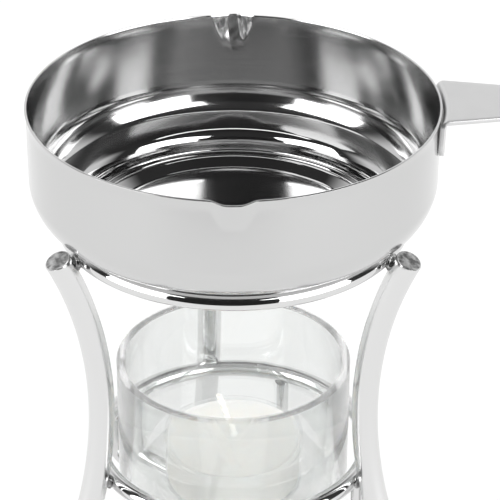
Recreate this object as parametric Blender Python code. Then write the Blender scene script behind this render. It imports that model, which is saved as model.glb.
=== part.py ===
"""Butter melter: a small steel pan with two pouring lips and a strip handle, resting on a
three-legged wire stand. A clear glass cup with a tea light stands inside the stand.

Metres, +Z up, the feet on z = 0. +X runs from the pan to the end of the handle, and the
pouring lips look along +Y and -Y. The origin is under the middle of the whole object's
length, so the axis shared by the pan, the rings and the cup lies at x = AXIS_X.
"""
import bpy
import bmesh
from math import acos, asin, atan2, cos, hypot, pi, radians, sin, sqrt, tan
from mathutils import Vector

# What neighbouring pieces keep between them where they touch or are welded.
GAP = 0.0003

# Pan, drawn from one sheet.
PAN_D = 0.1001            # across the rim
SHEET = 0.0006            # sheet thickness
RIM_FLARE = 0.0003        # the rim stands this far outside the wall
RIM_FLARE_H = 0.0018      # height of the flared edge
WALL_H = 0.0181           # straight wall, from the rim to the start of the shoulder
SHOULDER_R = 0.0116       # outer radius of the shoulder under the wall
SHOULDER_SWEEP = 45.0     # degrees that the shoulder turns before the crease
LEDGE_W = 0.0073          # sloping ledge between the crease and the first step
LEDGE_SLOPE = 24.5        # degrees
STEP_1_H = 0.0049         # first step down, which drops inside the top ring
STEP_1_TAPER = 0.0004
STEP_2_W = 0.0024         # narrow flat between the two steps
STEP_2_H = 0.0039         # second step, down to the flat base
STEP_2_TAPER = 0.0008
STEP_EDGE_R = 0.0009      # rounding inside the foot of each step

# Pouring lips, pressed out of the rim at the front and the back.
LIP_W = 0.0110            # across the pressed place at the rim
LIP_TIP_W = 0.0027        # flat tip
LIP_H = 0.0080            # the pressed place runs out this far below the rim
LIP_OUT = 0.0015          # how far the tip stands out
LIP_DROP = 0.0004         # how far the edge dips there

# Handle, one flat strip whose root is bent down against the wall.
HANDLE_T = 0.0010
HANDLE_LENGTH = 0.0835    # from the pan's wall to the far end
HANDLE_ROOT_W = 0.0224    # widest place, just outside the rim
HANDLE_NECK_W = 0.0132    # straight part near the end
HANDLE_TAPER_L = 0.0262   # length of the taper between the two
FLANGE_H = 0.0090         # bent-down flange against the wall, under the bend
FLANGE_LEAN = 2.2         # degrees that the flange's foot leans in to the wall
FLANGE_CORNER = 0.0045    # its two lower corners
FLANGE_BOW_R = 0.0750     # the flange is bowed a little less than the wall
HANDLE_BEND_R = 0.0018    # outer radius of the bend
HANG_HOLE_D = 0.0065
HANG_HOLE_INSET = 0.0068  # from the far end to the hole's centre

# Wire stand.
RING_ROD_D = 0.0042       # rod of the two rings
STEP_PLAY = 0.0004        # play round the top ring, where the pan's first step is drawn
TOP_RING_Z = 0.0889       # centre of the top ring's rod
MIDDLE_RING_Z = 0.0215
LEG_D = 0.0065
LEG_BEND_R = 0.1020       # radius that each leg's centre line is bent to
LEG_ABOVE_RING = 0.0009   # from the top ring up to the middle of a leg's cut end
LEG_BACK_AZ = 10.0        # degrees from +Y towards -X
LEG_SIDE_AZ = 120.0       # degrees from +Y, to either side

# Cradle under the cup, two wires bent to a U that cross.
CRADLE_D = 0.0034
CRADLE_AZ = 23.6          # degrees from +Y towards +X, where the upper wire comes up
CRADLE_BEND_R = 0.0050
FLOOR_CLEAR = 0.0004      # from the floor to the lower wire

# Glass cup.
CUP_D = 0.0597
CUP_H = 0.0400
CUP_WALL = 0.0020
CUP_BASE = 0.0024
CUP_CORNER_R = 0.0030
CUP_FOOT_W = 0.0060       # width of the ring that the cup stands on
CUP_RECESS = 0.0006       # depth of the shallow hollow under the cup
CUP_PLAY = 0.00284        # from the cup's wall out to the middle ring

# Tea light.
TEA_D = 0.0384            # over the rolled edge of its shell
TEA_H = 0.0122
TEA_LIP = 0.0005          # the rolled edge stands out from the shell
TEA_WALL = 0.0005
WAX_DROP = 0.0008         # from the shell's edge down to the wax
WICK_D = 0.0016
WICK_TALL = 0.0130        # above the wax
WICK_LEAN = (-0.0036, 0.0004)
TAB_D = 0.0120            # metal foot under the wick
TAB_T = 0.0004
TAB_NECK_D = 0.0034
TAB_NECK_H = 0.0024

# Derived radii and heights, pan first, then the stand around it.
WALL_R = PAN_D / 2 - RIM_FLARE
SWEEP = radians(SHOULDER_SWEEP)
CREASE_R = WALL_R - SHOULDER_R * (1 - cos(SWEEP))
STEP_R = CREASE_R - LEDGE_W
ROD_R = RING_ROD_D / 2
LEG_R = LEG_D / 2
WIRE_R = CRADLE_D / 2
CUP_R = CUP_D / 2
TOP_RING_R = STEP_R + STEP_PLAY + ROD_R
MIDDLE_RING_R = CUP_R + CUP_PLAY + ROD_R
# Each leg is an arc that touches both rings from outside. Its bend's centre lies at the same
# reach from the two rings' rods, and the leg's waist is level with it.
LEG_REACH = LEG_BEND_R + LEG_R + GAP + ROD_R
RINGS_UP = TOP_RING_Z - MIDDLE_RING_Z
RINGS_OUT = TOP_RING_R - MIDDLE_RING_R
RINGS_APART = hypot(RINGS_UP, RINGS_OUT)
BEND_OFF = sqrt(LEG_REACH ** 2 - (RINGS_APART / 2) ** 2) / RINGS_APART
BEND_AXIS_R = (TOP_RING_R + MIDDLE_RING_R) / 2 + BEND_OFF * RINGS_UP
LEG_WAIST_Z = (TOP_RING_Z + MIDDLE_RING_Z) / 2 - BEND_OFF * RINGS_OUT
LOWER_WIRE_Z = FLOOR_CLEAR + WIRE_R
UPPER_WIRE_Z = LOWER_WIRE_Z + CRADLE_D + GAP
CUP_Z = UPPER_WIRE_Z + WIRE_R + GAP
TEA_Z = CUP_Z + CUP_BASE + GAP

# Facets round a full turn.
PAN_STEP = 5.5            # degrees between the pan's ribs away from the lips
RING_SIDES = 60
ROD_SIDES = 10
LEG_SIDES = 12
CUP_SIDES = 48
TEA_SIDES = 40
HANDLE_STRIPS = 6         # strips across the handle, so that it can be bowed


def steel(name, colour, roughness):
    return make_material(name, colour, roughness, 1.0)


def make_material(name, colour, roughness, metallic, transmission=0.0, ior=1.45):
    material = bpy.data.materials.new(name)
    material.use_nodes = True
    shader = material.node_tree.nodes["Principled BSDF"]
    shader.inputs["Base Color"].default_value = (colour[0], colour[1], colour[2], 1.0)
    shader.inputs["Roughness"].default_value = roughness
    shader.inputs["Metallic"].default_value = metallic
    shader.inputs["Transmission Weight"].default_value = transmission
    shader.inputs["IOR"].default_value = ior
    material.diffuse_color = (colour[0], colour[1], colour[2], 1.0)
    return material


def add_object(name, bm, material, edge_angle=35.0):
    """A named object on the shared axis, from a mesh built round x = y = 0."""
    bmesh.ops.recalc_face_normals(bm, faces=bm.faces[:])
    mesh = bpy.data.meshes.new(name)
    bm.to_mesh(mesh)
    bm.free()
    mesh.materials.append(material)
    mesh.shade_smooth()
    mesh.set_sharp_from_angle(angle=radians(edge_angle))
    obj = bpy.data.objects.new(name, mesh)
    obj.location = (AXIS_X, 0.0, 0.0)
    bpy.context.scene.collection.objects.link(obj)
    return obj


def full_turn(sides):
    return [2 * pi * i / sides for i in range(sides)]


def add_lathe(bm, profile, angles, closed=False, shift=None):
    """Turn a profile of (radius, height) points about z. A point on the axis becomes one
    vertex. With closed, the profile's last point joins its first, as in a ring. shift can
    move a vertex after it is placed."""
    rows = []
    for radius, height in profile:
        if radius < 1e-7:
            rows.append([bm.verts.new((0.0, 0.0, height))])
            continue
        row = []
        for angle in angles:
            point = Vector((radius * cos(angle), radius * sin(angle), height))
            if shift:
                point = shift(point)
            row.append(bm.verts.new(point))
        rows.append(row)
    pairs = list(zip(rows[:-1], rows[1:]))
    if closed:
        pairs.append((rows[-1], rows[0]))
    count = len(angles)
    for first, second in pairs:
        for i in range(count):
            j = (i + 1) % count
            if len(first) == 1:
                bm.faces.new((first[0], second[i], second[j]))
            elif len(second) == 1:
                bm.faces.new((first[i], second[0], first[j]))
            else:
                bm.faces.new((first[i], second[i], second[j], first[j]))


def round_corner(before, corner, after, radius, steps):
    """Points of the arc that rounds a corner of a profile."""
    c = Vector(corner)
    a = (Vector(before) - c).normalized()
    b = (Vector(after) - c).normalized()
    half = acos(max(-1.0, min(1.0, a.dot(b)))) / 2
    start = c + a * (radius / tan(half))
    centre = c + (a + b).normalized() * (radius / sin(half))
    spoke = start - centre
    turn = pi - 2 * half
    if a.x * b.y - a.y * b.x > 0:
        turn = -turn
    points = []
    for i in range(steps + 1):
        angle = turn * i / steps
        points.append((centre.x + spoke.x * cos(angle) - spoke.y * sin(angle),
                       centre.y + spoke.x * sin(angle) + spoke.y * cos(angle)))
    return points


def offset_path(points, distance):
    """The same path moved sideways, to the right of its direction of travel."""
    moved = []
    for i, point in enumerate(points):
        normals = []
        for p, q in ((i - 1, i), (i, i + 1)):
            if p < 0 or q >= len(points):
                continue
            dr = points[q][0] - points[p][0]
            dz = points[q][1] - points[p][1]
            size = hypot(dr, dz)
            normals.append((dz / size, -dr / size))
        if len(normals) == 1:
            n = normals[0]
            scale = distance
        else:
            n = (normals[0][0] + normals[1][0], normals[0][1] + normals[1][1])
            scale = distance / (1 + normals[0][0] * normals[1][0] + normals[0][1] * normals[1][1])
        moved.append((point[0] + n[0] * scale, point[1] + n[1] * scale))
    return moved


def pan_outer_profile():
    """Outer side of the pan from under the flared rim to the axis, rim at height 0."""
    points = [(WALL_R, -RIM_FLARE_H), (WALL_R, -LIP_H * 0.6), (WALL_R, -LIP_H)]
    for i in range(6):
        turn = SWEEP * i / 5
        points.append((WALL_R - SHOULDER_R * (1 - cos(turn)), -WALL_H - SHOULDER_R * sin(turn)))
    crease = points[-1]
    step_top = (STEP_R, crease[1] - LEDGE_W * tan(radians(LEDGE_SLOPE)))
    step_foot = (STEP_R - STEP_1_TAPER, step_top[1] - STEP_1_H)
    flat_end = (step_foot[0] - STEP_2_W, step_foot[1])
    base_edge = (flat_end[0] - STEP_2_TAPER, flat_end[1] - STEP_2_H)
    centre = (0.0, base_edge[1])
    points += round_corner(crease, step_top, step_foot, ROD_R + STEP_PLAY, 4)
    points += round_corner(step_top, step_foot, flat_end, STEP_EDGE_R + SHEET, 2)
    points += round_corner(step_foot, flat_end, base_edge, STEP_EDGE_R, 1)
    points += round_corner(flat_end, base_edge, centre, STEP_EDGE_R + SHEET, 2)
    points.append(centre)
    return points, step_top


def rim_height_over_ring(profile, step_top):
    """Height of the rim over the top ring's centre line with the pan resting on the ring."""
    reach = ROD_R + GAP
    lowest = None
    for (r0, z0), (r1, z1) in zip(profile[:-1], profile[1:]):
        for i in range(21):
            r = r0 + (r1 - r0) * i / 20
            z = z0 + (z1 - z0) * i / 20
            if z < step_top[1] - ROD_R or abs(r - TOP_RING_R) >= reach:
                continue
            under = z - sqrt(reach ** 2 - (r - TOP_RING_R) ** 2)
            if lowest is None or under < lowest:
                lowest = under
    return -lowest


PAN_PROFILE, STEP_TOP = pan_outer_profile()
RIM_Z = TOP_RING_Z + rim_height_over_ring(PAN_PROFILE, STEP_TOP)
HANDLE_END = WALL_R + HANDLE_LENGTH
# The left end of the object is the pan's rim, the right end is the end of the handle.
AXIS_X = -(HANDLE_END - PAN_D / 2) / 2


def lip_shift(point):
    """Press the wall out and its edge down where the two pouring lips are."""
    depth = RIM_Z - point.z
    if depth >= LIP_H:
        return point
    fade = 1 - max(depth, 0.0) / LIP_H
    across = abs(point.x)
    span = LIP_W / 2 * fade
    tip = LIP_TIP_W / 2 * fade
    if across >= span:
        return point
    push = min(1.0, (span - across) / (span - tip))
    side = 1.0 if point.y > 0 else -1.0
    return Vector((point.x, point.y + side * LIP_OUT * fade * push,
                   point.z - LIP_DROP * fade * fade * push))


def pan_angles():
    """Ribs round the pan: closer together where the lips are pressed."""
    near = []
    flank = (LIP_W - LIP_TIP_W) / 2
    for across in (0.0, LIP_TIP_W / 2, LIP_TIP_W / 2 + flank / 2, LIP_W / 2,
                   LIP_W / 2 + flank * 0.7):
        near.append(asin(across / WALL_R))
    offsets = sorted([-a for a in near if a > 0] + near)
    free = pi - 2 * near[-1]
    ribs = max(4, round(free / radians(PAN_STEP)))
    angles = []
    for lip in (pi / 2, 3 * pi / 2):
        angles += [lip + a for a in offsets]
        angles += [lip + near[-1] + free * i / ribs for i in range(1, ribs)]
    return angles


def make_pan(material):
    outer = [(r, RIM_Z + z) for r, z in PAN_PROFILE]
    inner = offset_path(outer, SHEET)
    inner[-1] = (0.0, inner[-1][1])
    rim = PAN_D / 2
    round_over = SHEET * 0.25
    edge = [(rim - SHEET, RIM_Z - round_over), (rim - SHEET + round_over, RIM_Z),
            (rim - round_over, RIM_Z), (rim, RIM_Z - round_over)]
    bm = bmesh.new()
    # The loop runs down the outside to the axis, back up the inside and over the edge.
    profile = outer + inner[::-1] + edge
    add_open_lathe(bm, profile, pan_angles(), lip_shift)
    return add_object("pan_bowl", bm, material, 30.0)


def add_open_lathe(bm, profile, angles, shift):
    """A closed body whose profile touches the axis twice, so its ends join at the rim."""
    axis = [i for i, point in enumerate(profile) if point[0] < 1e-7]
    start = axis[1]
    turned = profile[start:] + profile[:start]
    add_lathe(bm, turned, angles, shift=shift)


def add_ring(bm, ring_r, height, rod_r, rod_sides=ROD_SIDES, sides=RING_SIDES):
    circle = []
    for angle in full_turn(rod_sides):
        circle.append((ring_r + rod_r * cos(angle), height + rod_r * sin(angle)))
    add_lathe(bm, circle, full_turn(sides), closed=True)


def add_rod(bm, path, across, radius, sides, floor=False):
    """A round rod along a path in one plane. across is that plane's normal. With floor, the
    last end is cut level at z = 0 instead of square."""
    rows = []
    for i, point in enumerate(path):
        ahead = path[min(i + 1, len(path) - 1)]
        behind = path[max(i - 1, 0)]
        along = (ahead - behind).normalized()
        side = along.cross(across).normalized()
        row = []
        for angle in full_turn(sides):
            corner = point + across * (radius * cos(angle)) + side * (radius * sin(angle))
            if floor and i == len(path) - 1:
                corner = corner - along * (corner.z / along.z)
            row.append(bm.verts.new(corner))
        rows.append(row)
    for first, second in zip(rows[:-1], rows[1:]):
        for i in range(sides):
            j = (i + 1) % sides
            bm.faces.new((first[i], second[i], second[j], first[j]))
    bm.faces.new(rows[0])
    bm.faces.new(rows[-1])


def outward(azimuth):
    """Level direction at an angle from +Y, positive towards +X, and the one beside it."""
    a = radians(azimuth)
    return Vector((sin(a), cos(a), 0.0)), Vector((cos(a), -sin(a), 0.0))


def leg_path(azimuth, steps=14):
    out, _ = outward(azimuth)
    top = asin((TOP_RING_Z + LEG_ABOVE_RING - LEG_WAIST_Z) / LEG_BEND_R)
    foot = -asin(LEG_WAIST_Z / LEG_BEND_R)
    path = []
    for i in range(steps + 1):
        turn = top + (foot - top) * i / steps
        path.append(out * (BEND_AXIS_R - LEG_BEND_R * cos(turn))
                    + Vector((0.0, 0.0, LEG_WAIST_Z + LEG_BEND_R * sin(turn))))
    return path


LEGS = {"leg_back": -LEG_BACK_AZ, "leg_right": LEG_SIDE_AZ, "leg_left": -LEG_SIDE_AZ}


def make_leg(name, material):
    bm = bmesh.new()
    add_rod(bm, leg_path(LEGS[name]), outward(LEGS[name])[1], LEG_R, LEG_SIDES, floor=True)
    return add_object(name, bm, material)


def cradle_path(azimuth, level, seat, extra=0.0):
    """Centre line of a cradle wire from under the middle ring, down, across below the cup
    and up again. level is its height at the middle and seat its height near the bends."""
    out, _ = outward(azimuth)
    top = MIDDLE_RING_Z - ROD_R - GAP + extra
    flat = MIDDLE_RING_R - CRADLE_BEND_R
    half = [out * MIDDLE_RING_R + Vector((0, 0, top))]
    for i in range(5):
        turn = pi / 2 * i / 4
        half.append(out * (flat + CRADLE_BEND_R * cos(turn))
                    + Vector((0, 0, seat + CRADLE_BEND_R * (1 - sin(turn)))))
    across = []
    for i in range(1, 10):
        t = 1 - i / 5
        height = level + (seat - level) * (3 * t * t - 2 * abs(t) ** 3)
        across.append(out * (flat * t) + Vector((0, 0, height)))
    other = []
    for point in reversed(half):
        other.append(Vector((-point.x, -point.y, point.z)))
    return half + across + other


def make_cradle(name, azimuth, level, seat, material):
    bm = bmesh.new()
    add_rod(bm, cradle_path(azimuth, level, seat), outward(azimuth)[1], WIRE_R, ROD_SIDES)
    return add_object(name, bm, material)


def carve(blob, cutters):
    """Take the cutters' space out of a mesh and return what is left as a new mesh."""
    target = bpy.data.objects.new("blob", blob)
    bpy.context.scene.collection.objects.link(target)
    helpers = []
    for mesh in cutters:
        helper = bpy.data.objects.new("cutter", mesh)
        bpy.context.scene.collection.objects.link(helper)
        helper.hide_render = True
        helper.display_type = 'WIRE'
        helpers.append(helper)
        cut = target.modifiers.new("cut", 'BOOLEAN')
        cut.operation = 'DIFFERENCE'
        cut.solver = 'EXACT'
        cut.object = helper
    bpy.context.view_layer.update()
    graph = bpy.context.evaluated_depsgraph_get()
    result = bpy.data.meshes.new_from_object(target.evaluated_get(graph))
    for helper in helpers:
        bpy.data.objects.remove(helper)
    bpy.data.objects.remove(target)
    return result


def mesh_of(build):
    bm = bmesh.new()
    build(bm)
    bmesh.ops.recalc_face_normals(bm, faces=bm.faces[:])
    mesh = bpy.data.meshes.new("piece")
    bm.to_mesh(mesh)
    bm.free()
    return mesh


def bead_mesh(centre, radii):
    """A flattened ball, the raw shape of a weld bead."""
    def build(bm):
        bmesh.ops.create_uvsphere(bm, u_segments=10, v_segments=6, radius=1.0)
        for vert in bm.verts:
            vert.co = Vector((centre.x + vert.co.x * radii[0], centre.y + vert.co.y * radii[1],
                              centre.z + vert.co.z * radii[2]))
    return mesh_of(build)


def make_bead(name, mesh, material):
    bm = bmesh.new()
    bm.from_mesh(mesh)
    return add_object(name, bm, material)


def make_ring_welds(prefix, ring_r, ring_z, material):
    """A weld bead in the nip between a ring and each of the three legs."""
    for leg_name, azimuth in LEGS.items():
        out, beside = outward(azimuth)
        span = LEG_REACH - ROD_R - GAP / 2
        share = span / LEG_REACH
        spot = out * (BEND_AXIS_R + (ring_r - BEND_AXIS_R) * share)
        spot = spot + Vector((0, 0, LEG_WAIST_Z + (ring_z - LEG_WAIST_Z) * share))
        size = ROD_R + GAP
        blob = bead_mesh(spot, (size, size, size))
        path = leg_path(azimuth)
        leg = mesh_of(lambda bm: add_rod(bm, path, beside, LEG_R + GAP, LEG_SIDES))
        ring = mesh_of(lambda bm: add_ring(bm, ring_r, ring_z, ROD_R + GAP))
        make_bead(prefix + leg_name.replace("leg", ""), carve(blob, (leg, ring)), material)


def make_cradle_welds(material):
    """Weld collars where the cradle's four wire ends meet the underside of the middle ring."""
    places = {"upper_a": CRADLE_AZ, "lower_a": CRADLE_AZ + 90,
              "upper_b": CRADLE_AZ + 180, "lower_b": CRADLE_AZ + 270}
    for place, azimuth in places.items():
        out, beside = outward(azimuth)
        spot = out * MIDDLE_RING_R + Vector((0, 0, MIDDLE_RING_Z - ROD_R))
        size = WIRE_R * 1.5
        blob = bead_mesh(spot, (size, size, WIRE_R))
        path = [spot + Vector((0, 0, GAP)), spot - Vector((0, 0, CRADLE_D * 2))]
        wire = mesh_of(lambda bm: add_rod(bm, path, beside, WIRE_R + GAP, ROD_SIDES))
        ring = mesh_of(lambda bm: add_ring(bm, MIDDLE_RING_R, MIDDLE_RING_Z, ROD_R + GAP))
        make_bead("cradle_weld_" + place, carve(blob, (wire, ring)), material)


def handle_sections():
    """Stations along the handle's strip, on the face that lies against the pan and then
    looks up: (x, z, direction to the other face, half width, share of the bow)."""
    lean = radians(FLANGE_LEAN)
    root = HANDLE_ROOT_W / 2
    neck = HANDLE_NECK_W / 2
    wall_x = WALL_R + GAP
    knee_x = max(wall_x + FLANGE_H * sin(lean), PAN_D / 2 + GAP)
    centre_x = knee_x + HANDLE_BEND_R * cos(lean)
    centre_z = RIM_Z - HANDLE_BEND_R
    knee_z = centre_z + HANDLE_BEND_R * sin(lean)
    side = (cos(lean), -sin(lean))
    stations = []
    for u in (0.0, 0.12, 0.35, 0.65, 1.0):
        rise = FLANGE_CORNER * u
        half = root - FLANGE_CORNER + sqrt(FLANGE_CORNER ** 2 - (FLANGE_CORNER - rise) ** 2)
        up = rise / FLANGE_H
        stations.append((wall_x + (knee_x - wall_x) * up,
                         knee_z - FLANGE_H * cos(lean) * (1 - up), side, half, 1.0))
    for i in range(6):
        turn = pi - lean - (pi / 2 - lean) * i / 5
        stations.append((centre_x + HANDLE_BEND_R * cos(turn),
                         centre_z + HANDLE_BEND_R * sin(turn),
                         (-cos(turn), -sin(turn)), root, 1.0))
    down = (0.0, -1.0)
    for i in range(1, 8):
        t = i / 7
        # A straight taper that eases into the straight part at its end.
        ease = t if t < 0.8 else t - (t - 0.8) ** 2 / 0.4
        stations.append((centre_x + HANDLE_TAPER_L * t, RIM_Z, down,
                         root + (neck - root) * ease / 0.9, max(0.0, 1 - 2 * t)))
    round_x = HANDLE_END - neck
    start = centre_x + HANDLE_TAPER_L
    for t in (0.5, 1.0):
        stations.append((start + (round_x - start) * t, RIM_Z, down, neck, 0.0))
    for i in range(1, 7):
        turn = radians(80.0) * i / 6
        stations.append((round_x + neck * sin(turn) / sin(radians(80.0)), RIM_Z, down,
                         neck * cos(turn), 0.0))
    return stations


def make_handle(material):
    bm = bmesh.new()
    near, far = [], []
    for x, z, side, half, share in handle_sections():
        near_row, far_row = [], []
        for i in range(HANDLE_STRIPS + 1):
            y = half * (2 * i / HANDLE_STRIPS - 1)
            bow = (FLANGE_BOW_R - sqrt(FLANGE_BOW_R ** 2 - y * y)) * share
            near_row.append(bm.verts.new((x - bow, y, z)))
            far_row.append(bm.verts.new((x - bow + side[0] * HANDLE_T, y,
                                         z + side[1] * HANDLE_T)))
        near.append(near_row)
        far.append(far_row)
    last = HANDLE_STRIPS
    for a in range(len(near) - 1):
        for i in range(last):
            bm.faces.new((near[a][i], near[a][i + 1], near[a + 1][i + 1], near[a + 1][i]))
            bm.faces.new((far[a][i], far[a + 1][i], far[a + 1][i + 1], far[a][i + 1]))
        bm.faces.new((near[a][0], near[a + 1][0], far[a + 1][0], far[a][0]))
        bm.faces.new((near[a][last], far[a][last], far[a + 1][last], near[a + 1][last]))
    for end in (0, -1):
        for i in range(last):
            bm.faces.new((near[end][i], near[end][i + 1], far[end][i + 1], far[end][i]))
    handle = add_object("pan_handle", bm, material, 30.0)
    hole = mesh_of(lambda cut: bmesh.ops.create_cone(
        cut, cap_ends=True, segments=28, radius1=HANG_HOLE_D / 2, radius2=HANG_HOLE_D / 2,
        depth=HANDLE_T * 6))
    cutter = bpy.data.objects.new("hang_hole_cutter", hole)
    cutter.location = (AXIS_X + HANDLE_END - HANG_HOLE_INSET, 0.0, RIM_Z - HANDLE_T / 2)
    cutter.hide_render = True
    cutter.display_type = 'WIRE'
    bpy.context.scene.collection.objects.link(cutter)
    cut = handle.modifiers.new("hang_hole", 'BOOLEAN')
    cut.operation = 'DIFFERENCE'
    cut.solver = 'EXACT'
    cut.object = cutter
    return handle


def arc_points(centre_r, centre_z, radius, start, end, steps):
    points = []
    for i in range(steps + 1):
        a = radians(start + (end - start) * i / steps)
        points.append((centre_r + radius * cos(a), centre_z + radius * sin(a)))
    return points


def make_cup(material):
    """Straight glass cup: hollow under the base, rounded foot and a fire-polished rim."""
    inside = CUP_R - CUP_WALL
    foot_in = CUP_R - CUP_CORNER_R - CUP_FOOT_W
    corner_in = CUP_CORNER_R - CUP_WALL * 0.5
    rim_r = CUP_WALL / 2
    profile = [(0.0, CUP_Z + CUP_RECESS), (foot_in - CUP_RECESS * 2, CUP_Z + CUP_RECESS),
               (foot_in, CUP_Z)]
    profile += arc_points(CUP_R - CUP_CORNER_R, CUP_Z + CUP_CORNER_R, CUP_CORNER_R, -90, 0, 4)
    profile += arc_points(CUP_R - rim_r, CUP_Z + CUP_H - rim_r, rim_r, 0, 180, 4)
    profile += arc_points(inside - corner_in, CUP_Z + CUP_BASE + corner_in, corner_in, 0, -90, 3)
    profile.append((0.0, CUP_Z + CUP_BASE))
    bm = bmesh.new()
    add_lathe(bm, profile, full_turn(CUP_SIDES))
    return add_object("glass_cup", bm, material, 40.0)


def make_tea_shell(material):
    r = TEA_D / 2 - TEA_LIP
    top = TEA_Z + TEA_H
    roll = (TEA_LIP + TEA_WALL) / 2
    profile = [(0.0, TEA_Z)]
    profile += arc_points(r - 0.001, TEA_Z + 0.001, 0.001, -90, 0, 2)
    profile += [(r, top - roll * 2)]
    profile += arc_points(r + TEA_LIP - roll, top - roll, roll, -60, 90, 3)
    profile += [(r - TEA_WALL, top - roll * 0.4)]
    profile += [(r - TEA_WALL, TEA_Z + TEA_WALL), (0.0, TEA_Z + TEA_WALL)]
    bm = bmesh.new()
    add_lathe(bm, profile, full_turn(TEA_SIDES))
    return add_object("tealight_shell", bm, material)


FLOOR_Z = TEA_Z + TEA_WALL
TAB_Z = FLOOR_Z + GAP
NECK_TOP = TAB_Z + TAB_T + TAB_NECK_H
WAX_TOP = TEA_Z + TEA_H - WAX_DROP
WICK_BORE = WICK_D / 2 + GAP


def make_tab(material):
    """Metal foot of the wick: a disc with a short neck, open in the middle for the wick."""
    bore = WICK_BORE
    profile = [(bore, TAB_Z), (TAB_D / 2, TAB_Z), (TAB_D / 2, TAB_Z + TAB_T),
               (TAB_NECK_D / 2, TAB_Z + TAB_T), (TAB_NECK_D / 2, NECK_TOP), (bore, NECK_TOP)]
    bm = bmesh.new()
    add_lathe(bm, profile, full_turn(TEA_SIDES // 2), closed=True)
    return add_object("wick_tab", bm, material)


def make_wax(material):
    """Wax poured round the wick and its foot, with a slight dip towards the wick."""
    r = TEA_D / 2 - TEA_LIP - TEA_WALL - GAP
    over_tab = TAB_Z + TAB_T + GAP
    neck = TAB_NECK_D / 2 + GAP
    chamfer = 0.0006
    profile = [(neck, over_tab), (TAB_D / 2 + GAP, over_tab), (TAB_D / 2 + GAP, TAB_Z),
               (r - chamfer, TAB_Z), (r, TAB_Z + chamfer), (r, WAX_TOP - chamfer),
               (r - chamfer, WAX_TOP), (WICK_D * 3, WAX_TOP),
               (WICK_BORE + 0.0004, WAX_TOP - 0.0004), (WICK_BORE, WAX_TOP - 0.0006),
               (WICK_BORE, NECK_TOP + GAP), (neck, NECK_TOP + GAP)]
    bm = bmesh.new()
    add_lathe(bm, profile, full_turn(TEA_SIDES), closed=True)
    return add_object("tealight_wax", bm, material)


def make_wick(material):
    """Upright through the wax, leaning above it."""
    start = FLOOR_Z + GAP
    lean = Vector((WICK_LEAN[0], WICK_LEAN[1], 0.0))
    across = lean.cross(Vector((0, 0, 1))).normalized()
    path = [Vector((0, 0, start)), Vector((0, 0, (start + WAX_TOP) / 2)), Vector((0, 0, WAX_TOP))]
    for i in range(1, 7):
        t = i / 6
        path.append(Vector((0, 0, WAX_TOP + WICK_TALL * t)) + lean * (t ** 1.3))
    bm = bmesh.new()
    add_rod(bm, path, across, WICK_D / 2, 8)
    return add_object("tealight_wick", bm, material)


def build():
    for obj in list(bpy.data.objects):
        bpy.data.objects.remove(obj)
    satin = steel("steel_satin", (0.62, 0.61, 0.60), 0.22)
    bright = steel("steel_polished", (0.66, 0.65, 0.64), 0.10)
    rod = steel("steel_rod", (0.64, 0.63, 0.62), 0.16)
    bead = steel("steel_weld", (0.55, 0.54, 0.53), 0.30)
    glass = make_material("clear_glass", (0.95, 0.97, 0.97), 0.03, 0.0, 1.0, 1.50)
    shell = make_material("clear_plastic", (0.93, 0.93, 0.92), 0.15, 0.0, 0.8, 1.58)
    wax = make_material("white_wax", (0.86, 0.85, 0.82), 0.45, 0.0)
    cotton = make_material("white_cotton", (0.85, 0.84, 0.80), 0.80, 0.0)
    tin = steel("tinned_tab", (0.60, 0.60, 0.60), 0.35)

    make_pan(satin)
    make_handle(satin)
    for name in LEGS:
        make_leg(name, rod)
    for name, ring_r, ring_z in (("top_ring", TOP_RING_R, TOP_RING_Z),
                                 ("middle_ring", MIDDLE_RING_R, MIDDLE_RING_Z)):
        bm = bmesh.new()
        add_ring(bm, ring_r, ring_z, ROD_R)
        add_object(name, bm, bright)
    make_cradle("cradle_wire_upper", CRADLE_AZ, UPPER_WIRE_Z, UPPER_WIRE_Z, bright)
    make_cradle("cradle_wire_lower", CRADLE_AZ + 90, LOWER_WIRE_Z, UPPER_WIRE_Z, bright)
    make_ring_welds("top_weld", TOP_RING_R, TOP_RING_Z, bead)
    make_ring_welds("middle_weld", MIDDLE_RING_R, MIDDLE_RING_Z, bead)
    make_cradle_welds(bead)
    make_cup(glass)
    make_tea_shell(shell)
    make_tab(tin)
    make_wax(wax)
    make_wick(cotton)


build()
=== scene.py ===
"""Looks of the butter melter: a satin steel pan with a strip handle on a polished wire stand,
over a clear glass cup with a tea light, on a white floor in a small product studio.

Everything is in metres in the part's own frame: +X along the handle, +Z up, floor at z = 0.
"""
import bpy
import bmesh
from math import asin, atan2, cos, exp, hypot, pi, radians, sin, sqrt, tan
from mathutils import Matrix, Vector


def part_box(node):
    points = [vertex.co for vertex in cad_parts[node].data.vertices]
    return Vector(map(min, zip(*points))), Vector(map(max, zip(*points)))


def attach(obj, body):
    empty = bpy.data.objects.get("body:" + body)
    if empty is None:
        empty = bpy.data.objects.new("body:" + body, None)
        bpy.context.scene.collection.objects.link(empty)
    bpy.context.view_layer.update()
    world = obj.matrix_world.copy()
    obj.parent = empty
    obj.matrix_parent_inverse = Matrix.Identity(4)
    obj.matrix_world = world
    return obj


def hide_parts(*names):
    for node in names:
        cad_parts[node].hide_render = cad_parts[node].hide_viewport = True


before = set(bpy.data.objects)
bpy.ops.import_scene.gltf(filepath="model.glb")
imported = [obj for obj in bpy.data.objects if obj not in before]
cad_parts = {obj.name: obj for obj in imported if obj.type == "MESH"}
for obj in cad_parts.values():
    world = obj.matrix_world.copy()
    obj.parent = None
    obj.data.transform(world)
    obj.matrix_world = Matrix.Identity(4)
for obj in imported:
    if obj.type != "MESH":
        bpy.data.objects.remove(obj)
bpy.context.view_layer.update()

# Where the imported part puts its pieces.
RING_LOW, RING_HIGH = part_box("top_ring")
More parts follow.
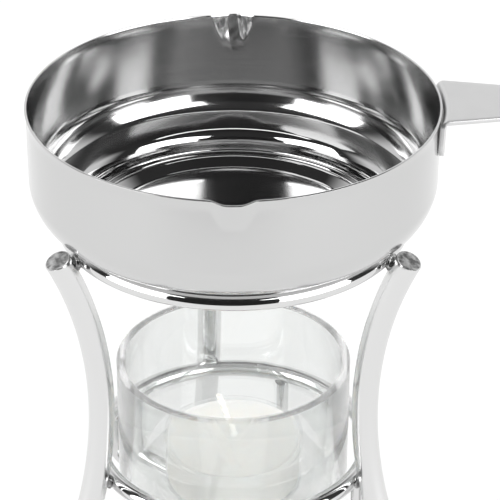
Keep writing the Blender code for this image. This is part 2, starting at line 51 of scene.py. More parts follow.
AXIS = Vector(((RING_LOW.x + RING_HIGH.x) / 2, 0.0, 0.0))
RIM_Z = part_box("pan_handle")[1].z

# What neighbouring pieces keep between them, and the length that counts as none.
GAP = 0.0003
TINY = 1e-7

# Pan, drawn from one sheet.
SHEET = 0.0006
WALL_R = 0.04975
RIM_R = 0.05005
RIM_FLARE_H = 0.0018
RIM_SOFT = 0.00014
PAN_STEPS = 296
WALL_H = 0.0181
SHOULDER_R = 0.0116
SHOULDER_Z = RIM_Z - WALL_H
SHOULDER_ANGLE = radians(45.0)
LEDGE_W = 0.0070
LEDGE_SLOPE = radians(24.5)
STEP_1_TAPER = 0.0004
STEP_1_H = 0.0047
FLAT_W = 0.0024
# The second step is drawn as a slope, gentler than in the solids, so the base is a little higher.
STEP_2_RUN = 0.0027
STEP_2_H = 0.0025
CREASE_R = WALL_R - SHOULDER_R * (1 - cos(SHOULDER_ANGLE))
CREASE_Z = SHOULDER_Z - SHOULDER_R * sin(SHOULDER_ANGLE)
STEP_R = CREASE_R - LEDGE_W
STEP_Z = CREASE_Z - LEDGE_W * tan(LEDGE_SLOPE)
FOOT_R = STEP_R - STEP_1_TAPER
FOOT_Z = STEP_Z - STEP_1_H
FLAT_R = FOOT_R - FLAT_W
BASE_R = FLAT_R - STEP_2_RUN
BASE_Z = FOOT_Z - STEP_2_H
# Rounding of each bend in the sheet: radius and segments.
BASE_EDGE = (0.0015, 8)
FLAT_EDGE = (0.0009, 6)
FOOT_EDGE = (0.0014, 8)
LEDGE_EDGE = (0.0040, 16)
CREASE_EDGE = (0.0020, 5)
SHOULDER_EDGE = (SHOULDER_R * 0.85, 22)     # leaves room for the crease's rounding
FLARE_EDGE = (0.0110, 4)
# Rows that straight runs are cut into: none in a short run, and BASE_ROWS in the long one, which
# is the base.
SHORT_RUN = 0.0008
LONG_RUN = 0.0300
ROW_GAP = 0.0006
ROWS_MOST = 30
BASE_ROWS = 40
# How far down the rim's cut edge counts, for softening it and for its satin finish.
RIM_EDGE_H = 0.0009
RIM_SATIN_H = 0.0006
# The inside's finish changes at these heights, from the wall down to the base.
FINISH_HEIGHTS = (SHOULDER_Z, CREASE_Z + SHEET * 0.4, STEP_Z + 0.0016, BASE_Z + SHEET * 1.2)
LIP_W = 0.0120
LIP_OUT = 0.0015
LIP_DROP = 0.0004
LIP_DROP_H = 0.0080
LIP_FOOT_SHARE = 0.55     # width of the pressed place at its foot, as a share of LIP_W
LIP_ZONE = 0.0095
# Of each lip: the width of its tip, how far down it starts, how soon it is fully out, its dents.
BACK_LIP = (0.0012, 0.0100, 0.0085, 0.00004)
FRONT_LIP = (0.0030, 0.0075, 0.0075, 0.0)
GUTTER_W = 0.0009
GUTTER_OUT = 0.00005
GUTTER_END = 0.0178
GUTTER_FADE = 0.0090
# How far the dents reach past the pressed place, and over what width they fade.
DENT_REACH = 0.0006
DENT_FADE = 0.0010

# Handle, one strip bent down at its root.
HANDLE_T = 0.0010
HANDLE_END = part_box("pan_handle")[1].x - AXIS.x
FLANGE_FOOT_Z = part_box("pan_handle")[0].z
HANDLE_ROOT = 0.0112
HANDLE_NECK = 0.0066
HANDLE_TAPER_L = 0.0262
FLANGE_CORNER = 0.0045
FLANGE_LEAN = radians(2.2)
# Where the flange, the bend and the taper end, as shares of the strip's rows, and the straight
# part's share of the rows that are left, before the rounded end.
FLANGE_U = 0.2
BEND_U = 0.36
TAPER_U = 0.7
STRAIGHT_SHARE = 0.4
TAPER_EASE = 0.8     # the taper narrows evenly this far, then eases into the straight part
STRIP_ROWS, STRIP_COLUMNS = 150, 16
# The rounded end's last row: its half width, and the distance at which its corners merge.
END_LEAST = 0.00002
END_MERGE = 0.00001
HANDLE_SHARP = 32.0
HANDLE_SOFT = 0.00012
FLANGE_BOW_BACK_R = 0.0750
FLANGE_BOW_FRONT_R = 0.0430
BEND_R = 0.0018
HOLE_R = 0.00325
HOLE_INSET = 0.0068
HOLE_SIDES = 96
PUNCH_L = 0.01

# Stand.
ROD_R = 0.0021
LEG_R = 0.00325
WIRE_R = 0.0017
TOP_RING_R = 0.041552
MIDDLE_RING_R = 0.03479
TOP_RING_Z = 0.0889
MIDDLE_RING_Z = 0.0215
LEG_BEND_R = 0.1020
LEG_AXIS_R = 0.139844
LEG_WAIST_Z = 0.0450
LEG_TOP_Z = 0.0898
LEG_AZIMUTHS = {"back": -10.0, "right": 120.0, "left": -120.0}
CRADLE_AZ = 23.6
CRADLE_BEND_R = 0.0050
UPPER_WIRE_Z = 0.0058
LOWER_WIRE_Z = 0.0021
LEG_END_SOFT = 0.00032
LEG_OVERRUN = 0.004       # below the floor, before the foot is cut level
RING_SIDES, RING_STEPS = 28, 288
LEG_SIDES, LEG_STEPS = 40, 72
WIRE_SIDES = 24
WIRE_DROP_STEPS, WIRE_BEND_STEPS, WIRE_SPAN_STEPS = 4, 10, 48
# Where the middle ring was butt welded: the swelling and the groove beside it.
BUTT_SWELL, BUTT_SWELL_W = 0.00022, 0.0022
BUTT_GROOVE, BUTT_GROOVE_W, BUTT_GROOVE_OFF = 0.00030, 0.0007, 0.0003
WELD_POOL_SIZE = (0.0023, 0.0011, 0.0022)
WELD_COLLAR_SIZE = (0.0022, 0.0021, 0.0011)
WELD_RIPPLE = 0.05

# Cup and tea light.
CUP_R = 0.02985
CUP_Z = 0.0078
CUP_H = 0.0400
CUP_WALL = 0.0020
CUP_BASE = 0.0024
CUP_RECESS = 0.0006
CUP_RECESS_RUN = 0.0012
CUP_FOOT_W = 0.0090
CUP_FOOT_SOFT = 0.0010
CUP_CORNER = 0.0029
CUP_INSIDE_CORNER = 0.0020
CUP_RIM_SOFT = CUP_WALL * 0.495
CUP_STEPS = 288
TEA_R = 0.0192
TEA_Z = 0.0105
TEA_H = 0.0122
SHELL_T = 0.0004
SHELL_LIP = 0.0005
TEA_STEPS = 144
WAX_R = TEA_R - 0.0012
WAX_FOOT_Z = TEA_Z + 0.0010
WAX_Z = TEA_Z + TEA_H - 0.0008
WAX_CLIMB = 0.0004        # of the wax on the wick
WAX_RIPPLE = 0.00006
WICK_R = 0.0008
WICK_SIDES, WICK_STEPS = 20, 60
WICK_TWIST = 0.07
WICK_FOOT_Z = TEA_Z + 0.0008
WICK_LENGTH = 0.0239
WICK_TALL = 0.0130        # above the wax
WICK_LEAN = (-0.0036, 0.0004)     # of its tip, in X and Y
TAB_BORE, TAB_NECK, TAB_R = 0.00112, 0.0016, 0.0060
TAB_T, TAB_H = 0.0004, 0.0028
TAB_STEPS = 64


def linear(hex_colour):
    """An sRGB hex colour as linear values."""
    channels = [int(hex_colour[i:i + 2], 16) / 255 for i in (1, 3, 5)]
    return tuple(c / 12.92 if c <= 0.04045 else ((c + 0.055) / 1.055) ** 2.4
                 for c in channels) + (1.0,)


def add(tree, kind, inputs=None, **settings):
    """Add a node with its settings, values and links."""
    made = tree.nodes.new(kind)
    for name, value in settings.items():
        setattr(made, name, value)
    for socket, value in (inputs or {}).items():
        if isinstance(value, bpy.types.NodeSocket):
            tree.links.new(value, made.inputs[socket])
        else:
            made.inputs[socket].default_value = value
    return made


def new_material(name, **values):
    """A named material and its shader, with plain values on the shader's own sockets."""
    material = bpy.data.materials.new(name)
    material.use_nodes = True
    tree = material.node_tree
    shader = tree.nodes["Principled BSDF"]
    for socket, value in values.items():
        shader.inputs[socket.replace("_", " ")].default_value = value
    return material, tree, shader


def from_axis(tree):
    """The place measured from the pan's axis, and the same with its height left out."""
    place = add(tree, "ShaderNodeTexCoord")
    middle = add(tree, "ShaderNodeMapping", {"Vector": place.outputs["Object"],
                                             "Location": (-AXIS.x, 0, 0)})
    flat = add(tree, "ShaderNodeVectorMath", {0: middle.outputs[0], 1: (1, 1, 0)},
               operation="MULTIPLY")
    return middle, flat


def around_axis(tree, around, across):
    """Coordinates for marks that run round the pan's axis: slow round it, fast across."""
    middle, flat = from_axis(tree)
    radius = add(tree, "ShaderNodeVectorMath", {0: flat.outputs[0]}, operation="LENGTH")
    parts = add(tree, "ShaderNodeSeparateXYZ", {0: middle.outputs[0]})
    height = add(tree, "ShaderNodeMath", {0: radius.outputs["Value"], 1: parts.outputs[2]},
                 operation="ADD")
    joined = add(tree, "ShaderNodeCombineXYZ", {0: parts.outputs[0], 1: parts.outputs[1],
                                                2: height.outputs[0]})
    return add(tree, "ShaderNodeMapping", {"Vector": joined.outputs[0],
                                           "Scale": (around, around, across)}).outputs[0]


# How far from the axis the base's slope is given. Then marks and patches of wear in a metre:
# marks along their run, wear along it and across.
DISH_R = 0.030
MARKS_ROUND = 90.0
WEAR_ROUND, WEAR_ACROSS = 55.0, 90.0


def turned_steel(name, colour, roughness, stretch, spacing_mm, depth_mm, spread, hollow=0.0):
    """Stainless sheet with marks that run round the axis. stretch is how much the highlight
    runs across the marks, spread how much the roughness varies among them, hollow the slope
    that a pressed dish has DISH_R from the axis."""
    material, tree, shader = new_material(name, Base_Color=linear(colour), Metallic=1.0,
                                          Roughness=roughness, Anisotropic=stretch,
                                          Anisotropic_Rotation=0.25)
    # The noise's second octave has the marks' spacing.
    marks = add(tree, "ShaderNodeTexNoise",
                {"Vector": around_axis(tree, MARKS_ROUND, 500.0 / spacing_mm), "Scale": 1.0,
                 "Detail": 3.0, "Roughness": 0.6})
    wear = add(tree, "ShaderNodeTexNoise",
               {"Vector": around_axis(tree, WEAR_ROUND, WEAR_ACROSS), "Scale": 1.0,
                "Detail": 2.0})
    # Steel without relief shows only its wear.
    share = 0.45 if depth_mm else 1.0
    both = add(tree, "ShaderNodeMix", {0: share, 2: marks.outputs[0], 3: wear.outputs[0]})
    rough = add(tree, "ShaderNodeMapRange", {0: both.outputs[0], 1: 0.3, 2: 0.7,
                                             3: roughness - spread, 4: roughness + spread})
    tree.links.new(rough.outputs[0], shader.inputs["Roughness"])
    if depth_mm:
        bump = add(tree, "ShaderNodeBump", {"Height": marks.outputs[0], "Strength": 1.0,
                                            "Distance": depth_mm / 1000})
        tree.links.new(bump.outputs[0], shader.inputs["Normal"])
    if hollow:
        flat = from_axis(tree)[1]
        dish = add(tree, "ShaderNodeVectorMath", {0: flat.outputs[0], 1: flat.outputs[0]},
                   operation="DOT_PRODUCT")
        bump = add(tree, "ShaderNodeBump", {"Height": dish.outputs["Value"], "Strength": 1.0,
                                            "Distance": hollow / (2 * DISH_R)})
        tree.links.new(bump.outputs[0], shader.inputs["Normal"])
    if stretch:
        tangent = add(tree, "ShaderNodeTangent", direction_type="RADIAL", axis="Z")
        tree.links.new(tangent.outputs[0], shader.inputs["Tangent"])
    return material


def polished_steel(name, colour, roughness, smear, depth_mm, scale=140.0):
    """Drawn or rolled metal without brush marks: a mirror as clear as its roughness lets it be,
    with soft dents and patches of haze. smear is how much rougher the haze is."""
    material, tree, shader = new_material(name, Base_Color=linear(colour), Metallic=1.0,
                                          Roughness=roughness)
    place = add(tree, "ShaderNodeTexCoord")
    haze = add(tree, "ShaderNodeTexNoise", {"Vector": place.outputs["Object"],
                                            "Scale": scale, "Detail": 4.0})
    rough = add(tree, "ShaderNodeMapRange", {0: haze.outputs[0], 1: 0.35, 2: 0.7,
                                             3: roughness, 4: roughness + smear})
    tree.links.new(rough.outputs[0], shader.inputs["Roughness"])
    bump = add(tree, "ShaderNodeBump", {"Height": haze.outputs[0], "Strength": 1.0,
                                        "Distance": depth_mm / 1000})
    tree.links.new(bump.outputs[0], shader.inputs["Normal"])
    return material


def raw_steel(name, dark, light, roughness, scale, depth_mm):
    """Unpolished stainless, torn or melted: patches of dark scale among bare bright metal."""
    material, tree, shader = new_material(name, Metallic=1.0, Roughness=roughness)
    place = add(tree, "ShaderNodeTexCoord")
    grain = add(tree, "ShaderNodeTexNoise", {"Vector": place.outputs["Object"],
                                             "Scale": scale, "Detail": 3.0, "Roughness": 0.55})
    patch = add(tree, "ShaderNodeMapRange", {0: grain.outputs[0], 1: 0.38, 2: 0.62})
    shade = add(tree, "ShaderNodeMix", {0: patch.outputs[0], 6: linear(dark),
                                        7: linear(light)}, data_type="RGBA")
    tree.links.new(shade.outputs[2], shader.inputs["Base Color"])
    bump = add(tree, "ShaderNodeBump", {"Height": grain.outputs[0], "Strength": 1.0,
                                        "Distance": depth_mm / 1000})
    tree.links.new(bump.outputs[0], shader.inputs["Normal"])
    return material


# Stainless sheet, finished in zones: satin outside, brushed inside wall, bright where the
# press drew it round the shoulder and the steps.
OUTSIDE_SATIN = turned_steel("stainless_satin_outside", "#CACACA", 0.17, 0.30, 0.22, 0.0002, 0.015)
# The inside wall's colour is darker than the outside's: painted shade for the dim inside of the
# pan.
WALL_BRUSHED_PAINTED_SHADE = turned_steel("stainless_brushed_inside_painted_shade", "#B8B8B8", 0.17, 0.55, 0.16, 0.0008, 0.03)
SHOULDER_BRIGHT = turned_steel("stainless_drawn_bright", "#C6C6C6", 0.10, 0.0, 0.5, 0.0006, 0.03)
LEDGE_SATIN = turned_steel("stainless_drawn_satin", "#BEBEBE", 0.08, 0.0, 0.3, 0.0, 0.01)
STEP_BRIGHT = turned_steel("stainless_step_bright", "#C2C2C2", 0.06, 0.0, 0.5, 0.0, 0.01)
BASE_BRIGHT = turned_steel("stainless_base_buffed", "#C2C2C2", 0.07, 0.0, 0.5, 0.0, 0.01,
                            hollow=0.10)
# Buffed rod: a clear mirror on the rings and the cradle, softer on the thick legs. The handle's
# strip is satin.
ROD_POLISHED = polished_steel("stainless_rod_polished", "#D6D6D6", 0.04, 0.04, 0.0015)
LEG_POLISHED = polished_steel("stainless_leg_polished", "#DADADA", 0.20, 0.05, 0.002, 70.0)
HANDLE_SATIN = polished_steel("stainless_strip_satin", "#D3D3D3", 0.28, 0.05, 0.002, 220.0)
# Cropped rod ends, left as the saw and shear made them: dark, torn and matt.
SAWN_END = raw_steel("stainless_sawn_end", "#6E6E6E", "#C4C4C4", 0.45, 620.0, 0.25)
# Weld pool, heat-tinted grey and wiped by the polishing wheel.
WELD_POOL = raw_steel("stainless_weld_pool", "#5C5C5C", "#B8B8B8", 0.16, 520.0, 0.20)
# Thin tinned steel of the wick's foot.
TIN_FOOT = polished_steel("tinned_steel_foot", "#B5B2AE", 0.30, 0.10, 0.01, 400.0)


def pressed_glass(name, alpha):
    """Soda-lime glass, machine pressed: clear, with a faint waviness in its walls. alpha is the
    share of light that meets it. The rest goes straight through: a little in the wall, and most
    of it in the rounded rim and the base, which would otherwise trap light and look black."""
    material, tree, shader = new_material(name, Base_Color=linear("#ECEEED"),
                                          Roughness=0.0, IOR=1.51, Transmission_Weight=1.0,
                                          Alpha=alpha)
    place = add(tree, "ShaderNodeTexCoord")
    wave = add(tree, "ShaderNodeTexNoise", {"Vector": place.outputs["Object"], "Scale": 60.0,
                                            "Detail": 1.0})
    bump = add(tree, "ShaderNodeBump", {"Height": wave.outputs[0], "Strength": 1.0,
                                        "Distance": 0.00001})
    tree.links.new(bump.outputs[0], shader.inputs["Normal"])
    return material


def candle_wax():
    """Paraffin wax, poured: white, lets light in, with a faint bloom on its surface."""
    material, tree, shader = new_material("paraffin_wax", Base_Color=linear("#F6F5F1"),
                                          Roughness=0.45, IOR=1.44, Subsurface_Weight=0.5,
                                          Subsurface_Scale=0.004)
    shader.inputs["Subsurface Radius"].default_value = (1.0, 0.9, 0.8)
    place = add(tree, "ShaderNodeTexCoord")
    bloom = add(tree, "ShaderNodeTexNoise", {"Vector": place.outputs["Object"],
                                             "Scale": 350.0, "Detail": 4.0})
    rough = add(tree, "ShaderNodeMapRange", {0: bloom.outputs[0], 1: 0.3, 2: 0.7,
                                             3: 0.36, 4: 0.55})
    tree.links.new(rough.outputs[0], shader.inputs["Roughness"])
    bump = add(tree, "ShaderNodeBump", {"Height": bloom.outputs[0], "Strength": 1.0,
                                        "Distance": 0.00005})
    tree.links.new(bump.outputs[0], shader.inputs["Normal"])
    return material


def thin_clear_shell():
    """Vacuum-formed polycarbonate of the tea light's shell: clear, faintly rippled, and so thin
    that most light goes straight through."""
    material, tree, shader = new_material("polycarbonate_shell", Base_Color=linear("#F4F5F5"),
                                          Roughness=0.05, IOR=1.45, Transmission_Weight=1.0,
                                          Alpha=0.15)
    ripple = add(tree, "ShaderNodeTexNoise", {"Vector": around_axis(tree, 120.0, 120.0),
                                              "Scale": 1.0})
    bump = add(tree, "ShaderNodeBump", {"Height": ripple.outputs[0], "Strength": 1.0,
                                        "Distance": 0.00005})
    tree.links.new(bump.outputs[0], shader.inputs["Normal"])
    return material


def waxed_cotton():
    """Braided cotton wick soaked in wax: off-white, the braid's ribs show about 0.9 mm apart."""
    material, tree, shader = new_material("waxed_cotton_braid", Base_Color=linear("#EFEBE2"),
                                          Roughness=0.6, Sheen_Weight=0.3)
    place = add(tree, "ShaderNodeTexCoord")
    braid = add(tree, "ShaderNodeTexWave", {"Vector": place.outputs["Object"],
                                            "Scale": 390.0, "Distortion": 1.5},
                wave_type="BANDS", bands_direction="DIAGONAL")
    shade = add(tree, "ShaderNodeMix", {0: braid.outputs["Fac"], 6: linear("#EAE7DF"),
                                        7: linear("#FAF9F5")}, data_type="RGBA")
    tree.links.new(shade.outputs[2], shader.inputs["Base Color"])
    bump = add(tree, "ShaderNodeBump", {"Height": braid.outputs["Fac"], "Strength": 1.0,
                                        "Distance": 0.0001})
    tree.links.new(bump.outputs[0], shader.inputs["Normal"])
    return material


CLEAR_GLASS = pressed_glass("soda_lime_glass", 0.87)
GLASS_EDGE = pressed_glass("soda_lime_glass_edge", 0.2)
WHITE_WAX = candle_wax()
CLEAR_SHELL = thin_clear_shell()
COTTON = waxed_cotton()


def finish_piece(name, bm, materials, body, nodes, sharp, move=AXIS):
    """Put a mesh in place as a piece that rides a body and stands for the part's nodes. sharp
    is the angle in degrees past which an edge breaks its shading."""
    bmesh.ops.translate(bm, verts=bm.verts, vec=move)
    mesh = bpy.data.meshes.new(name)
    bm.to_mesh(mesh)
    bm.free()
    for material in materials:
        mesh.materials.append(material)
    mesh.shade_smooth()
    mesh.set_sharp_from_angle(angle=radians(sharp))
    piece = bpy.data.objects.new(name, mesh)
    bpy.context.scene.collection.objects.link(piece)
    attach(piece, body)
    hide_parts(*nodes)
    return piece


def outline(points, closed=False):
    """A wire in the XZ plane with its corners rounded. Each point is (radius, height,
    rounding radius, segments), or just (radius, height)."""
    bm = bmesh.new()
    verts = [bm.verts.new((point[0], 0.0, point[1])) for point in points]
    pairs = list(zip(verts, verts[1:]))
    if closed:
        pairs.append((verts[-1], verts[0]))
    for pair in pairs:
        bm.edges.new(pair)
    for i, point in enumerate(points):
        if len(point) < 3:
            continue
        before = Vector((points[i - 1][0] - point[0], points[i - 1][1] - point[1]))
        after = points[(i + 1) % len(points)]
        after = Vector((after[0] - point[0], after[1] - point[1]))
        half = before.angle(after) / 2
        bmesh.ops.bevel(bm, geom=[verts[i]], offset=point[2] / tan(half), segments=point[3],
                        profile=0.5, affect="VERTICES", material=-1)
    return bm


def spin_round(bm, steps):
    """Turn a wire about the axis into a surface, closed at the axis and round the turn."""
    bmesh.ops.spin(bm, geom=bm.verts[:] + bm.edges[:], cent=(0, 0, 0), axis=(0, 0, 1),
                   angle=2 * pi, steps=steps, use_merge=True, use_duplicate=False)
    bmesh.ops.remove_doubles(bm, verts=bm.verts, dist=TINY)
    bmesh.ops.dissolve_degenerate(bm, dist=TINY / 10, edges=bm.edges)
    bmesh.ops.recalc_face_normals(bm, faces=bm.faces)


def ease(t):
    """From 0 to 1 with a level start and end."""
    t = min(1.0, max(0.0, t))
    return t * t * (3 - 2 * t)


def press_lips(bm):
    """Press the two pouring lips out of the rim. More columns are cut there first. The back
    lip is pinched to a narrow gutter and dented by the press, the front one is rounder."""
    level = [e for e in bm.edges if abs(e.verts[0].co.z - e.verts[1].co.z) < TINY
             and all(abs(v.co.x) < LIP_ZONE and v.co.z > RIM_Z - GUTTER_END for v in e.verts)]
    bmesh.ops.subdivide_edges(bm, edges=level, cuts=2, use_grid_fill=True)
    step = 2 * pi / PAN_STEPS
    for vert in bm.verts:
        depth = max(0.0, RIM_Z - vert.co.z)
        if depth > GUTTER_END or abs(vert.co.x) > LIP_ZONE:
            continue
        # The new columns lie on flat facets: set them back on the round wall.
        off = atan2(vert.co.y, vert.co.x) % step - step / 2
        vert.co.xy = vert.co.xy * (cos(off) / cos(step / 2))
        back = vert.co.y > 0
        tip, low, rise, dent = BACK_LIP if back else FRONT_LIP
        down = ease((low - depth) / rise)
        span = LIP_W / 2 * (LIP_FOOT_SHARE + (1 - LIP_FOOT_SHARE) * ease(1 - depth / low))
        push = down * ease((span - abs(vert.co.x)) / (span - tip / 2))
        out = LIP_OUT * push
        fade = ease((GUTTER_END - depth) / GUTTER_FADE)
        out += GUTTER_OUT * exp(-(vert.co.x / GUTTER_W) ** 2) * fade
        # Dents a few millimetres apart, in no clear order.
        x, z = vert.co.x * 1000, depth * 1000
        shape = ease(push * 4) * ease((span + DENT_REACH - abs(vert.co.x)) / DENT_FADE)
        out += dent * shape * (sin(2.1 * x + 0.7 * z + 1.0) * cos(1.3 * z - 0.4 * x)
                               + 0.6 * sin(3.9 * x - 1.1 * z))
        vert.co.y += out if back else -out
        vert.co.z -= LIP_DROP * push * ease(1 - depth / LIP_DROP_H)


def draw_pan():
    """The pan: its outside outline spun, the lips pressed, then given its sheet's thickness."""
    corner_z = SHOULDER_Z - SHOULDER_R * tan(SHOULDER_ANGLE / 2)
    bm = outline([(0.0, BASE_Z), (BASE_R, BASE_Z, *BASE_EDGE), (FLAT_R, FOOT_Z, *FLAT_EDGE),
                  (FOOT_R, FOOT_Z, *FOOT_EDGE), (STEP_R, STEP_Z, *LEDGE_EDGE),
                  (CREASE_R, CREASE_Z, *CREASE_EDGE), (WALL_R, corner_z, *SHOULDER_EDGE),
                  (WALL_R, RIM_Z - RIM_FLARE_H, *FLARE_EDGE), (RIM_R, RIM_Z)])
    # Rows close enough for the lips to be pressed into, and for flat zones to shade flat.
    for edge in list(bm.edges):
        length = edge.calc_length()
        rows = 0 if length < SHORT_RUN else min(int(length / ROW_GAP), ROWS_MOST)
        if length > LONG_RUN:
            rows = BASE_ROWS
        if rows:
            bmesh.ops.subdivide_edges(bm, edges=[edge], cuts=rows)
    spin_round(bm, PAN_STEPS)
    # The sheet is still open at the rim, so its normals may have come out inwards.
    if sum((f.normal.x * f.calc_center_median().x + f.normal.y * f.calc_center_median().y)
           for f in bm.faces) < 0:
        bmesh.ops.reverse_faces(bm, faces=bm.faces)
    press_lips(bm)
    bmesh.ops.solidify(bm, geom=bm.faces, thickness=SHEET)
    bm.normal_update()
    rim = [e for e in bm.edges if len(e.link_faces) == 2 and min(v.co.z for v in e.verts)
           > RIM_Z - RIM_EDGE_H and e.calc_face_angle(0.0) > radians(60)]
    bmesh.ops.bevel(bm, geom=rim, offset=RIM_SOFT, segments=2, profile=0.5, affect="EDGES",
                    material=-1)
    bm.normal_update()
    for face in bm.faces:
        c = face.calc_center_median()
        out = (face.normal.x * c.x + face.normal.y * c.y) / max(hypot(c.x, c.y), TINY)
        if out - face.normal.z > 0 or c.z > RIM_Z - RIM_SATIN_H:
            face.material_index = 0
        else:
            face.material_index = 1 + sum(c.z <= height for height in FINISH_HEIGHTS)
    finish_piece("pan_sheet", bm, [OUTSIDE_SATIN, WALL_BRUSHED_PAINTED_SHADE, SHOULDER_BRIGHT, LEDGE_SATIN,
                                   STEP_BRIGHT, BASE_BRIGHT],
                 "pan", ["pan_bowl"], 28.0)


def strip_place(u, v):
    """A point of the handle's strip: u from the flange's foot to the far end, v across."""
    knee_x = RIM_R + GAP
    wall_x = WALL_R + GAP
    centre_x = knee_x + BEND_R * cos(FLANGE_LEAN)
    centre_z = RIM_Z - BEND_R
    knee_z = centre_z + BEND_R * sin(FLANGE_LEAN)
    width = HANDLE_ROOT
    if u < FLANGE_U:
        up = u / FLANGE_U
        rise = (knee_z - FLANGE_FOOT_Z) * up
        if rise < FLANGE_CORNER:
            width += sqrt(max(0.0, FLANGE_CORNER ** 2 - (FLANGE_CORNER - rise) ** 2))
            width -= FLANGE_CORNER
        x, z, bow = wall_x + (knee_x - wall_x) * up, FLANGE_FOOT_Z + rise, 1.0
    elif u < BEND_U:
        bent = (u - FLANGE_U) / (BEND_U - FLANGE_U)
        turn = pi - FLANGE_LEAN - (pi / 2 - FLANGE_LEAN) * bent
        x, z, bow = centre_x + BEND_R * cos(turn), centre_z + BEND_R * sin(turn), 1.0
    elif u < TAPER_U:
        t = (u - BEND_U) / (TAPER_U - BEND_U)
        late = max(0.0, t - TAPER_EASE)
        narrowing = (t - late ** 2 / (2 * (1 - TAPER_EASE))) / ((1 + TAPER_EASE) / 2)
        width += (HANDLE_NECK - HANDLE_ROOT) * narrowing
        x, z, bow = centre_x + HANDLE_TAPER_L * t, RIM_Z, max(0.0, 1 - 2 * t)
    else:
        start = centre_x + HANDLE_TAPER_L
        stop = HANDLE_END - HANDLE_NECK
        t = (u - TAPER_U) / (1 - TAPER_U)
        width = HANDLE_NECK
        if t < STRAIGHT_SHARE:
            x = start + (stop - start) * t / STRAIGHT_SHARE
        else:
            turn = pi / 2 * (t - STRAIGHT_SHARE) / (1 - STRAIGHT_SHARE)
            x = stop + HANDLE_NECK * sin(turn)
            width = max(HANDLE_NECK * cos(turn), END_LEAST)
        z, bow = RIM_Z, 0.0
    y = width * v
    bow_r = FLANGE_BOW_BACK_R if y > 0 else FLANGE_BOW_FRONT_R
    return Vector((x - (bow_r - sqrt(bow_r ** 2 - y * y)) * bow, y, z))


def bend_handle():
    """The handle: a flat grid shaped to the strip, thickened, pierced and softened."""
    bm = bmesh.new()
    bmesh.ops.create_grid(bm, x_segments=STRIP_ROWS, y_segments=STRIP_COLUMNS, size=0.5)
    for vert in bm.verts:
        vert.co = strip_place(vert.co.x + 0.5, vert.co.y * 2)
    bmesh.ops.remove_doubles(bm, verts=bm.verts, dist=END_MERGE)
    bm.normal_update()
    if sum(f.normal.z for f in bm.faces) < 0:
        bmesh.ops.reverse_faces(bm, faces=bm.faces)
    bmesh.ops.solidify(bm, geom=bm.faces, thickness=HANDLE_T)
    piece = finish_piece("handle_strip", bm, [HANDLE_SATIN], "pan", ["pan_handle"],
                         HANDLE_SHARP)
    punch = bmesh.new()
    bmesh.ops.create_cone(punch, cap_ends=True, segments=HOLE_SIDES, radius1=HOLE_R,
                          radius2=HOLE_R, depth=PUNCH_L)
    bmesh.ops.translate(punch, verts=punch.verts,
                        vec=AXIS + Vector((HANDLE_END - HOLE_INSET, 0, RIM_Z)))
    mesh = bpy.data.meshes.new("hole_punch")
    punch.to_mesh(mesh)
    punch.free()
    tool = bpy.data.objects.new("hole_punch", mesh)
    bpy.context.scene.collection.objects.link(tool)
    cut = piece.modifiers.new("hanging_hole", "BOOLEAN")
    cut.operation, cut.solver, cut.object = "DIFFERENCE", "EXACT", tool
    soft = piece.modifiers.new("soft_edges", "BEVEL")
    soft.width, soft.segments, soft.limit_method = HANDLE_SOFT, 2, "ANGLE"
    soft.angle_limit = radians(50)
    bpy.context.view_layer.update()
    done = bpy.data.meshes.new_from_object(
        piece.evaluated_get(bpy.context.evaluated_depsgraph_get()))
    piece.modifiers.clear()
    piece.data = done
    done.shade_smooth()
    done.set_sharp_from_angle(angle=radians(HANDLE_SHARP))
    bpy.data.objects.remove(tool)


def outward(azimuth):
    """Level direction at an angle from +Y towards +X."""
    return Vector((sin(radians(azimuth)), cos(radians(azimuth)), 0.0))


def bend_ring(name, radius, height, nodes, butt=None):
    """A ring of round rod. butt is the azimuth where its ends were butt welded and ground,
    which leaves a slight swelling and a groove."""
    bm = bmesh.new()
    bmesh.ops.create_circle(bm, segments=RING_SIDES, radius=ROD_R)
    bmesh.ops.rotate(bm, verts=bm.verts, cent=(0, 0, 0), matrix=Matrix.Rotation(pi / 2, 3, "X"))
    bmesh.ops.translate(bm, verts=bm.verts, vec=(radius, 0, height))
    spin_round(bm, RING_STEPS)
    if butt is not None:
        ahead = outward(butt)
        for vert in bm.verts:
            level = Vector((vert.co.x, vert.co.y, 0.0))
            if level.dot(ahead) < 0:
                continue
            off = level.cross(ahead).z
            swell = BUTT_SWELL * max(0.0, 1 - abs(off) / BUTT_SWELL_W)
            groove = BUTT_GROOVE * max(0.0, 1 - abs(off - BUTT_GROOVE_OFF) / BUTT_GROOVE_W)
            core = level.normalized() * radius + Vector((0, 0, height))
            vert.co += (vert.co - core).normalized() * (swell - groove)
    finish_piece(name, bm, [ROD_POLISHED], "stand", nodes, 60.0)


def run_rod(bm, loop, moves):
    """Carry a rod's end loop through straight runs and bends."""
    for kind, *values in moves:
        if kind == "straight":
            vec, steps = values
            done = bmesh.ops.spin(bm, geom=loop, cent=(0, 0, 0), axis=(0, 0, 1), angle=0.0,
                                  dvec=Vector(vec) / steps, steps=steps, use_duplicate=False)
        else:
            centre, axis, angle, steps = values
            done = bmesh.ops.spin(bm, geom=loop, cent=centre, axis=axis, angle=angle,
                                  steps=steps, use_duplicate=False)
        loop = done["geom_last"]


def close_ends(bm):
    """Cap the open ends of a rod."""
    bmesh.ops.holes_fill(bm, edges=[e for e in bm.edges if len(e.link_faces) == 1], sides=0)


